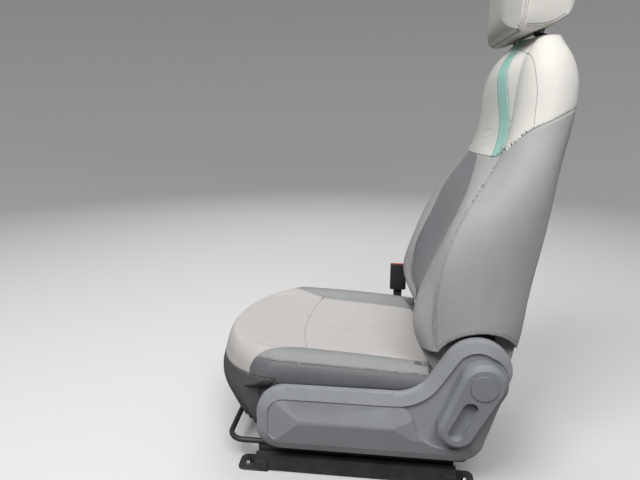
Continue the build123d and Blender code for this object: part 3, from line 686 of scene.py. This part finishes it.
@dataclass
class Panel:
    """One cover panel, made from its CAD solid: its edges stay on the seams and its face swells."""

    node: str
    finish: Finish
    cell: float = 0.0045
    pressure: float = 4.0
    cap: float = 0.005
    lift: float = 0.0
    fill: float = 0.8
    seams: list[Seam] = field(default_factory=list)
    edge: list[int] = field(default_factory=list)
    start: np.ndarray | None = None
    piece: bpy.types.Object | None = None

    def prepare(self, nodes: dict, covers: Sequence[str], hard: Surface) -> None:
        """Copy the solid, give it an even mesh that keeps its edges, and hold what touches others.

        Args:
            nodes: objects by node name.
            covers: names of all cover panels.
            hard: surface of the pieces that are not soft.
        """
        work = bmesh.new()
        work.from_mesh(nodes[self.node].data)
        bmesh.ops.remove_doubles(work, verts=work.verts, dist=WELD)
        bmesh.ops.recalc_face_normals(work, faces=work.faces)
        self.piece = from_bmesh(f"{self.node}_cover", work)
        span = max(self.piece.dimensions)
        depth = math.ceil(math.log2(span / (0.98 * self.cell)))
        remesh = self.piece.modifiers.new("even_mesh", "REMESH")
        remesh.mode = "SHARP"
        remesh.octree_depth = depth
        remesh.scale = min(0.98, span / (self.cell * 2 ** depth))
        applied(self.piece)
        self.hold(Surface(nodes[name] for name in covers if name != self.node), hard)
        smooth = self.piece.modifiers.new("even_out", "SMOOTH")
        smooth.factor = 0.5
        smooth.iterations = 4
        smooth.vertex_group = "free"
        applied(self.piece)
        self.start = places(self.piece.data)

    def hold(self, others: Surface, hard: Surface) -> None:
        """Sort the vertices into those that stay and those that swell.

        Args:
            others: surface of the other panels.
            hard: surface of the pieces that are not soft.
        """
        work = bmesh.new()
        work.from_mesh(self.piece.data)
        bmesh.ops.remove_doubles(work, verts=work.verts, dist=0.0005)
        work.verts.ensure_lookup_table()
        held = set()
        for edge in work.edges:
            if not edge.is_manifold or edge.calc_face_angle(0) > SHARP:
                held.update(vertex.index for vertex in edge.verts)
        self.edge = sorted(held)
        for vertex in work.verts:
            if others.touches(vertex.co, BESIDE_COVER) or hard.touches(vertex.co, BESIDE_HARD):
                held.add(vertex.index)
        count = len(work.verts)
        work.to_mesh(self.piece.data)
        work.free()
        self.piece.vertex_groups.clear()
        self.piece.vertex_groups.new(name="held").add(sorted(held), 1.0, "ADD")
        free = [index for index in range(count) if index not in held]
        self.piece.vertex_groups.new(name="free").add(free, 1.0, "ADD")

    def inflate(self) -> None:
        """Add the pressure simulation."""
        cloth = self.piece.modifiers.new("pressure", "CLOTH")
        settings = cloth.settings
        settings.quality = 4
        settings.use_pressure = True
        settings.uniform_pressure_force = self.pressure
        settings.effector_weights.gravity = 0
        settings.vertex_group_mass = "held"
        settings.tension_stiffness = 25
        settings.compression_stiffness = 25
        settings.bending_stiffness = 1.5
        cloth.collision_settings.use_collision = False
        cloth.point_cache.frame_start = 1
        cloth.point_cache.frame_end = FRAMES

    def settle(self) -> None:
        """Apply the simulation with its movement capped, then set the seams' edges in place."""
        if self.piece.modifiers:
            applied(self.piece)
            move = places(self.piece.data) - self.start
            length = np.linalg.norm(move, axis=1, keepdims=True)
            put(self.piece.data, self.start + move * (self.cap / (self.cap + length)))
        for seam in self.seams:
            self.snap(seam)
        if self.lift:
            put(self.piece.data, places(self.piece.data) + normals(self.piece.data) * self.lift)

    def snap(self, seam: Seam) -> None:
        """Put the vertices close to a seam onto it, those of sharp edges from further away."""
        tree = search_tree(seam.even(0.0008).places)
        rows = places(self.piece.data)
        sharp = set(self.edge)
        for index, row in enumerate(rows):
            nearest, _, distance = tree.find(row)
            if distance < self.cell * (0.8 if index in sharp else 0.4):
                rows[index] = nearest
        put(self.piece.data, rows)

    def twin(self, node: str) -> "Panel":
        """The mirror image of this panel for the node on the other side."""
        work = bmesh.new()
        work.from_mesh(self.piece.data)
        bmesh.ops.scale(work, vec=(-1, 1, 1), verts=work.verts)
        bmesh.ops.reverse_faces(work, faces=work.faces)
        other = Panel(node, self.finish, fill=self.fill)
        other.piece = from_bmesh(f"{node}_cover", work)
        return other

    def carve(self, seam: Seam, depth: float, width: float) -> None:
        """Sink the cover along a line.

        Args:
            seam: the line.
            depth: how deep its middle lies.
            width: half its width.
        """
        rows = places(self.piece.data)
        tree = search_tree(rows)
        line = seam.even(width * 0.3)
        sunk: dict[int, tuple[float, np.ndarray]] = {}
        for place, outward in zip(line.places, line.outward):
            for _, index, distance in tree.find_range(place, width):
                if index not in sunk or distance < sunk[index][0]:
                    sunk[index] = (distance, outward)
        for index, (distance, outward) in sunk.items():
            rows[index] -= outward * depth * (1 - (distance / width) ** 2) ** 2
        put(self.piece.data, rows)

    def finish_piece(self, wardrobe: Wardrobe, body: Body) -> None:
        """Dress the panel, put it on its body and hide the solid it replaces."""
        wardrobe.dress(self.piece, self.finish)
        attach(self.piece, body.value)
        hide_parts(self.node)
        LOG.info("%s: %d faces", self.piece.name, len(self.piece.data.polygons))


def simulate(panels: Sequence[Panel], nodes: dict, covers: Sequence[str]) -> None:
    """Make the panels and run their pressure simulations side by side.

    Args:
        panels: the panels.
        nodes: objects by node name.
        covers: names of all cover panels.
    """
    hard = Surface(node for name, node in nodes.items() if name not in covers)
    for panel in panels:
        panel.prepare(nodes, covers, hard)
    for panel in panels:
        panel.inflate()
    for moment in range(1, FRAMES + 1):
        bpy.context.scene.frame_set(moment)
    for panel in panels:
        panel.settle()
    bpy.context.scene.frame_set(1)


class Needlework:
    """Rows of stitches and near-black dots of painted shade at the needle holes, on the covers of one body.
    """

    def __init__(self, covers: Surface) -> None:
        """Start with no stitches.

        Args:
            covers: surface of the finished covers.
        """
        self.covers = covers
        self.stitches: list[tuple[Vector, Vector, Vector]] = []
        self.holes: list[tuple[Vector, Vector, Vector]] = []

    def row(self, seam: Seam, offset: float, pitch: float = 0.0034) -> None:
        """Sew one row beside a seam.

        Args:
            seam: the line.
            offset: distance to its side.
            pitch: length of a stitch with its gap.
        """
        line = seam.even(pitch / 2)
        for count in range(1, len(line.places) - 1):
            along = Vector(line.places[count + 1] - line.places[count - 1]).normalized()
            outward = Vector(line.outward[count])
            side = outward.cross(along).normalized()
            spot = self.covers.below(Vector(line.places[count]) + side * offset, outward)
            if spot:
                place, normal = spot
                kept = self.holes if count % 2 else self.stitches
                kept.append((place, (along - normal * along.dot(normal)).normalized(), normal))

    @staticmethod
    def studs(spots: Sequence[tuple[Vector, Vector, Vector]], length: float, radius: float,
              lift: float, rings: Sequence[tuple[float, float]], name: str) -> bpy.types.Object:
        """Make one small rounded bar on each spot.

        Args:
            spots: place, direction and normal of each.
            length: length of a bar.
            radius: its half width.
            lift: height of its middle above the cover.
            rings: place along the bar and relative size of each ring.
            name: name of the object.

        Returns:
            The object.
        """
        count, last = 5, 5 * (len(rings) - 1)
        turns = [(math.cos(math.tau * k / count), math.sin(math.tau * k / count)) for k in range(count)]
        form = np.array([(x * length, u * radius * size, v * radius * size)
                         for x, size in rings for u, v in turns])
        sides = [(r + k, r + (k + 1) % count, r + count + (k + 1) % count, r + count + k)
                 for r in range(0, last, count) for k in range(count)]
        ends = [tuple(reversed(range(count))), tuple(range(last, last + count))]
        verts, faces = [], []
        for place, along, normal in spots:
            base = len(verts)
            axes = np.array([along[:], normal.cross(along)[:], normal[:]])
            verts.extend((form @ axes + np.array(place) + np.array(normal) * lift).tolist())
            faces.extend(tuple(base + i for i in face) for face in (*sides, *ends))
        mesh = bpy.data.meshes.new(name)
        mesh.from_pydata(verts, [], faces)
        mesh.polygons.foreach_set("use_smooth", [True] * len(mesh.polygons))
        return make_object(name, mesh)

    def finish(self, name: str, wardrobe: Wardrobe, body: Body) -> None:
        """Make the threads and the dots of painted shade at the holes, and put them on their body."""
        spindle, stub = ((-0.5, 0.5), (0, 1), (0.5, 0.5)), ((-0.5, 1), (0.5, 1))
        for suffix, spots, size, finish in (
                ("stitches", self.stitches, (0.0026, 0.00045, 0.0002, spindle), PALE_THREAD),
                ("needle_hole_shade", self.holes, (0.0009, 0.0006, 0.0, stub), NEEDLE_HOLE_SHADE)):
            piece = self.studs(spots, *size, f"{name}_{suffix}")
            wardrobe.dress(piece, finish)
            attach(piece, body.value)
            LOG.info("%s: %d", piece.name, len(spots))


def traced(covers: Surface, line: Iterable[tuple[float, float]], reach: float) -> Seam:
    """Line on the outboard side of the covers.

    Args:
        covers: surface of the finished covers.
        line: Y and Z of its points, in metres.
        reach: how far inward the covers are searched.

    Returns:
        The line.
    """
    spots = []
    for y, z in line:
        place, normal, _, _ = covers.tree.ray_cast(Vector((OUTSIDE, y, z)), Vector((-1, 0, 0)), reach)
        if place:
            spots.append((place[:], normal[:]))
    found, outward = zip(*spots)
    return Seam(np.array(found), np.array(outward)).even(SEAM_STEP)


def arch(covers: Surface, radius: float, first: float, last: float) -> Seam:
    """Line on the outboard side of the backrest at a distance from the pivot.

    Args:
        covers: surface of the finished covers.
        radius: distance from the pivot.
        first: angle of its rear end, in degrees above the rearward direction.
        last: angle of its front end.

    Returns:
        The line.
    """
    turns = np.radians(np.linspace(first, last, 60))
    line = ((PIVOT[0] + radius * math.cos(turn), PIVOT[1] + radius * math.sin(turn)) for turn in turns)
    return traced(covers, line, 0.2).eased(4)


def across_side(covers: Surface, line: Sequence[tuple[float, float]]) -> Seam:
    """Line on the outboard side through a few points given as (Y, Z).

    Args:
        covers: surface of the finished covers.
        line: the points, in metres.

    Returns:
        The line.
    """
    given = np.array(line)
    at = np.linspace(0, len(given) - 1, 80)
    index = np.arange(len(given))
    finer = zip(np.interp(at, index, given[:, 0]), np.interp(at, index, given[:, 1]))
    return traced(covers, finer, 0.3).eased()


def reflected(seam: Seam) -> Seam:
    """The mirror image of a seam on the other side."""
    flip = np.array([-1.0, 1.0, 1.0])
    return Seam(seam.places * flip, seam.outward * flip)


@dataclass(frozen=True)
class Camera:
    """The photograph's view, as fitted to the seat's outline."""

    place: Point = (1.10, 0.029, 0.749)
    forward: Point = (-0.96298, -0.11061, -0.24585)
    lens: float = 27.06

    def build(self) -> None:
        """Make the camera the scene's own."""
        data = bpy.data.cameras.new("seat_view")
        data.lens = self.lens
        data.sensor_width = 36
        data.clip_start = 0.01
        camera = make_object("seat_view", data)
        ahead = Vector(self.forward).normalized()
        right = ahead.cross(Vector((0, 0, 1))).normalized()
        up = right.cross(ahead)
        turn = Matrix((right, up, -ahead)).transposed().to_4x4()
        camera.matrix_world = Matrix.Translation(self.place) @ turn
        bpy.context.scene.camera = camera


@dataclass
class Studio:
    """Pale round dish with soft lamps."""

    seen: Colour = (0.80, 0.80, 0.79)
    lit: Colour = (0.16, 0.16, 0.158)
    flat: float = 4.0
    curve: float = 2.5
    wall: float = 4.0
    sides: int = 72

    def build(self) -> None:
        """Make the dish, the world and the lamps."""
        bpy.context.scene.view_settings.view_transform = "Standard"
        self.dish()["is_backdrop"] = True
        self.world()
        self.lamp("key", (2.1, -1.3, 3.4), (0, 0.1, 0.45), 78, 1.6)
        self.lamp("door", (2.2, 0.7, 3.0), (0, 0.1, 0.6), 50, 1.6)
        self.lamp("far", (-2.2, -0.4, 2.8), (0, 0.1, 0.5), 24, 1.8)

    def dish(self) -> bpy.types.Object:
        """Floor that curves up all round."""
        profile = [(self.flat, 0.0)]
        profile += [(self.flat + self.curve * math.sin(turn), self.curve * (1 - math.cos(turn)))
                    for turn in np.linspace(0.1, math.pi / 2, 14)]
        profile.append((self.flat + self.curve, self.curve + self.wall))
        turns = [math.tau * k / self.sides for k in range(self.sides)]
        work = bmesh.new()
        rings = [[work.verts.new((r * math.cos(turn), r * math.sin(turn), z)) for turn in turns]
                 for r, z in profile]
        work.faces.new(rings[0])
        for low, high in zip(rings, rings[1:]):
            for k in range(self.sides):
                work.faces.new((low[k], high[k], high[(k + 1) % self.sides], low[(k + 1) % self.sides]))
        dish = from_bmesh("studio_dish", work)
        kit = ShaderKit("studio_dish")
        view = kit.tree.nodes.new("ShaderNodeLightPath").outputs["Is Camera Ray"]
        kit.link(kit.mixed(view, self.lit, self.seen), kit.shader.inputs["Base Color"])
        kit.set(Roughness=0.9, Specular_IOR_Level=0.1)
        dish.data.materials.append(kit.material)
        return dish

    def world(self) -> None:
        """Even pale light from above the dish."""
        world = bpy.data.worlds.new("surroundings")
        bpy.context.scene.world = world
        world.use_nodes = True
        world.node_tree.nodes["Background"].inputs["Color"].default_value = (0.90, 0.92, 0.94, 1)
        world.node_tree.nodes["Background"].inputs["Strength"].default_value = 0.54

    def lamp(self, name: str, place: Point, target: Point, power: float, size: float) -> None:
        """Add a square soft lamp that faces a target.

        Args:
            name: name of the lamp.
            place: where it hangs.
            target: what it faces.
            power: watts.
            size: edge length.
        """
        data = bpy.data.lights.new(name, "AREA")
        data.energy = power
        data.size = size
        lamp = make_object(name, data)
        lamp.location = place
        aim = Vector(target) - Vector(place)
        lamp.rotation_euler = aim.to_track_quat("-Z", "Y").to_euler()


@dataclass(frozen=True)
class RoundedEdge:
    """Small radius on the edges of hard pieces."""

    width: float
    segments: int = 2

    def put_on(self, node: bpy.types.Object) -> None:
        """Add the modifiers that round a piece's edges."""
        weld = node.modifiers.new("weld", "WELD")
        weld.merge_threshold = WELD
        bevel = node.modifiers.new("edge_radius", "BEVEL")
        bevel.width = self.width
        bevel.segments = self.segments
        bevel.limit_method = "ANGLE"
        bevel.angle_limit = math.radians(32)
        bevel.harden_normals = True


EDGE_WIDTHS = {"side_shield": 0.0014, "side_member": 0.0007, "recliner": 0.0007,
               "rail_foot_front": 0.0008, "rail_foot_rear": 0.0008}
ROUNDING = {f"{piece}_{side}": RoundedEdge(width) for piece, width in EDGE_WIDTHS.items()
            for side in ("outboard", "inboard")}
ROUNDING |= {"recliner_lever": RoundedEdge(0.0028, 3), "lever_cap": RoundedEdge(0.0008)}


@dataclass(frozen=True)
class FloorBolts:
    """Hexagon flange bolts through the four rail feet."""

    spacing: tuple[float, float] = (0.400, 0.470)
    foot: float = 0.003
    flange: float = 0.0095
    washer: float = 0.0016
    head: float = 0.0065
    height: float = 0.0065

    def build(self, wardrobe: Wardrobe) -> None:
        """Make the bolts."""
        work = bmesh.new()
        for x in (-0.5, 0.5):
            for y in (-0.5, 0.5):
                centre = Vector((x * self.spacing[0], y * self.spacing[1], self.foot))
                self.prism(work, centre, self.flange, self.washer, 24)
                self.prism(work, centre + Vector((0, 0, self.washer)), self.head, self.height, 6)
        piece = from_bmesh("floor_bolts", work, False)
        wardrobe.dress(piece, BRIGHT_STEEL)
        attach(piece, Body.FLOOR.value)
        edge = piece.modifiers.new("edge_radius", "BEVEL")
        edge.width = 0.0004
        edge.segments = 2
        applied(piece)
        piece.data.polygons.foreach_set("use_smooth", [False] * len(piece.data.polygons))
        LOG.info("%s: %d faces", piece.name, len(piece.data.polygons))

    @staticmethod
    def prism(work: bmesh.types.BMesh, base: Vector, radius: float, height: float, sides: int) -> None:
        """Add an upright prism with many sides or a few."""
        middle = Matrix.Translation(base + Vector((0, 0, height / 2)))
        bmesh.ops.create_cone(work, cap_ends=True, segments=sides, radius1=radius, radius2=radius,
                              depth=height, matrix=middle)


SEAMED = (
    ("back_bolster_outboard", "back_side_outboard"),
    ("cushion_bolster_outboard", "cushion_side_outboard"),
    ("headrest_front", "headrest_rear"),
    ("back_side_outboard", "back_shoulders"),
    ("back_bolster_outboard", "back_shoulders"),
    ("back_bolster_outboard", "back_centre_panel"),
    ("back_side_outboard", "back_rear_panel"),
    ("cushion_bolster_outboard", "cushion_rear_insert"),
    ("cushion_bolster_outboard", "cushion_front_insert"),
    ("cushion_front_insert", "cushion_rear_insert"),
    ("cushion_front_insert", "cushion_front_facing"),
    ("cushion_side_outboard", "cushion_front_facing"),
)


def find_seams(finder: SeamFinder, panels: Sequence[Panel]) -> dict[tuple[str, str], Seam]:
    """Find the seams and hand each to the panels that it joins.

    Args:
        finder: finds the seams of the solids.
        panels: the panels of the outboard side and the middle.

    Returns:
        The seams by their pair of nodes.
    """
    by_node = {panel.node: panel for panel in panels}
    found = {}
    for pair in SEAMED:
        seam = found[pair] = finder.between(*pair)
        for node in pair:
            by_node[node].seams.append(seam)
            if not node.endswith("_outboard"):
                by_node[node].seams.append(reflected(seam))
    return found


SHOULDER_LINE = ((0.298, 0.884), (0.304, 0.869), (0.308, 0.847), (0.311, 0.792), (0.307, 0.753),
                 (0.306, 0.737))
CROSS_LINE = ((0.294, 0.914), (0.310, 0.9134), (0.331, 0.9146), (0.343, 0.9186), (0.353, 0.9243),
              (0.362, 0.931))


def sew(found: dict[tuple[str, str], Seam], panels: dict[str, Panel], wardrobe: Wardrobe) -> None:
    """Sink the main seams and sew the stitches.

    Args:
        found: the seams by their pair of nodes.
        panels: all panels by node.
        wardrobe: the finishes.
    """
    head_pair = ("headrest_front", "headrest_rear")
    main_seams: dict[Body, list[Seam]] = {Body.BACK: [], Body.BASE: []}
    for first, second in (("back_bolster", "back_side"), ("cushion_bolster", "cushion_side")):
        seam = found[f"{first}_outboard", f"{second}_outboard"].trimmed(0.008)
        for side, line in (("outboard", seam), ("inboard", reflected(seam))):
            main_seams[body_of(first)].append(line)
            for node in (first, second):
                panels[f"{node}_{side}"].carve(line, 0.0014, 0.006)
    for node in head_pair:
        panels[node].carve(found[head_pair], 0.0012, 0.006)
    covers = {body: Surface(panel.piece for panel in panels.values() if body_of(panel.node) is body)
              for body in (Body.BASE, Body.BACK, Body.HEAD)}
    work = {body: Needlework(surface) for body, surface in covers.items()}
    for body, lines in main_seams.items():
        for line in lines:
            work[body].row(line, ROW)
            work[body].row(line, -ROW)
    for seam, offset in ((arch(covers[Body.BACK], 0.093, 14, 150), 0.0),
                         (across_side(covers[Body.BACK], SHOULDER_LINE), 0.0),
                         (found["back_side_outboard", "back_rear_panel"], 0.004)):
        for line in (seam, reflected(seam)):
            work[Body.BACK].row(line, offset)
    work[Body.HEAD].row(found[head_pair], 0.003)
    cross = across_side(covers[Body.HEAD], CROSS_LINE)
    for line in (cross, reflected(cross)):
        work[Body.HEAD].row(line, 0.002)
        work[Body.HEAD].row(line, -0.002)
    for body, name in ((Body.BACK, "backrest"), (Body.BASE, "cushion"), (Body.HEAD, "headrest")):
        work[body].finish(name, wardrobe, body)


def body_of(node: str) -> Body:
    """The body that a cover's node belongs to."""
    if node.startswith("cushion"):
        return Body.BASE
    return Body.HEAD if node.startswith("headrest") else Body.BACK


def main() -> None:
    """Build the seat from the floor up."""
    logging.basicConfig(level=logging.INFO, format="%(name)s: %(message)s")
    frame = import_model()
    sizes = {"cad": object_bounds()}
    Camera().build()
    Studio().build()
    wardrobe = Wardrobe()
    made = [
        Panel("cushion_front_insert", CUSHION_WEAVE),
        Panel("cushion_rear_insert", CUSHION_WEAVE),
        # The front facing gets the darker copy of the dark leathercloth: painted shade.
        Panel("cushion_front_facing", FACING_SHADED_HIDE, 0.004),
        Panel("cushion_bolster_outboard", BOLSTER_HIDE, 0.0028),
        Panel("cushion_side_outboard", DARK_HIDE, 0.0028, cap=0.003),
        Panel("back_bolster_outboard", GREY_HIDE, 0.0028),
        Panel("back_side_outboard", GREY_HIDE, 0.0032),
        Panel("back_centre_panel", SLATE_KNIT, 0.005),
        Panel("back_shoulders", CREAM_HIDE, 0.0033),
        Panel("back_stripe_outboard", MINT_BAND, 0.0025, cap=0.001, lift=0.0007),
        Panel("back_rear_panel", DARK_HIDE, 0.006),
        Panel("headrest_front", CREAM_HIDE, 0.0033),
        Panel("headrest_rear", CREAM_HIDE, 0.0033),
    ]
    nodes = frame["nodes"]
    covers = [name for name in nodes
              if name.startswith(("cushion_", "back_")) or name in ("headrest_front", "headrest_rear")]
    seams = find_seams(SeamFinder(nodes, covers), made)
    simulate(made, nodes, covers)
    for panel in list(made):
        if panel.node.endswith("_outboard"):
            made.append(panel.twin(panel.node.replace("_outboard", "_inboard")))
    sew(seams, {panel.node: panel for panel in made}, wardrobe)
    for panel in made:
        panel.finish_piece(wardrobe, body_of(panel.node))
    plain = {"rail_steel": RAIL_STEEL, "frame_steel": FRAME_STEEL, "bright_steel": BRIGHT_STEEL,
             "moulded_trim": TRIM, "black_plastic": BLACK_PLASTIC, "red_plastic": RED_PLASTIC}
    for part in frame["record"]["subparts"]:
        if part["material_slot"] in plain:
            finish = plain[part["material_slot"]]
            if part["node"] in ("recliner_lever", "lever_cap"):
                finish = LEVER_TRIM
            wardrobe.dress(nodes[part["node"]], finish)
            if part["node"] in ROUNDING:
                ROUNDING[part["node"]].put_on(nodes[part["node"]])
            LOG.info("%s: %s", part["node"], finish.name)
    FloorBolts().build(wardrobe)
    sizes["visual"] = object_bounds()
    {key: [list(corner) for corner in value] for key, value in sizes.items()}


if __name__ == "__main__":
    main()
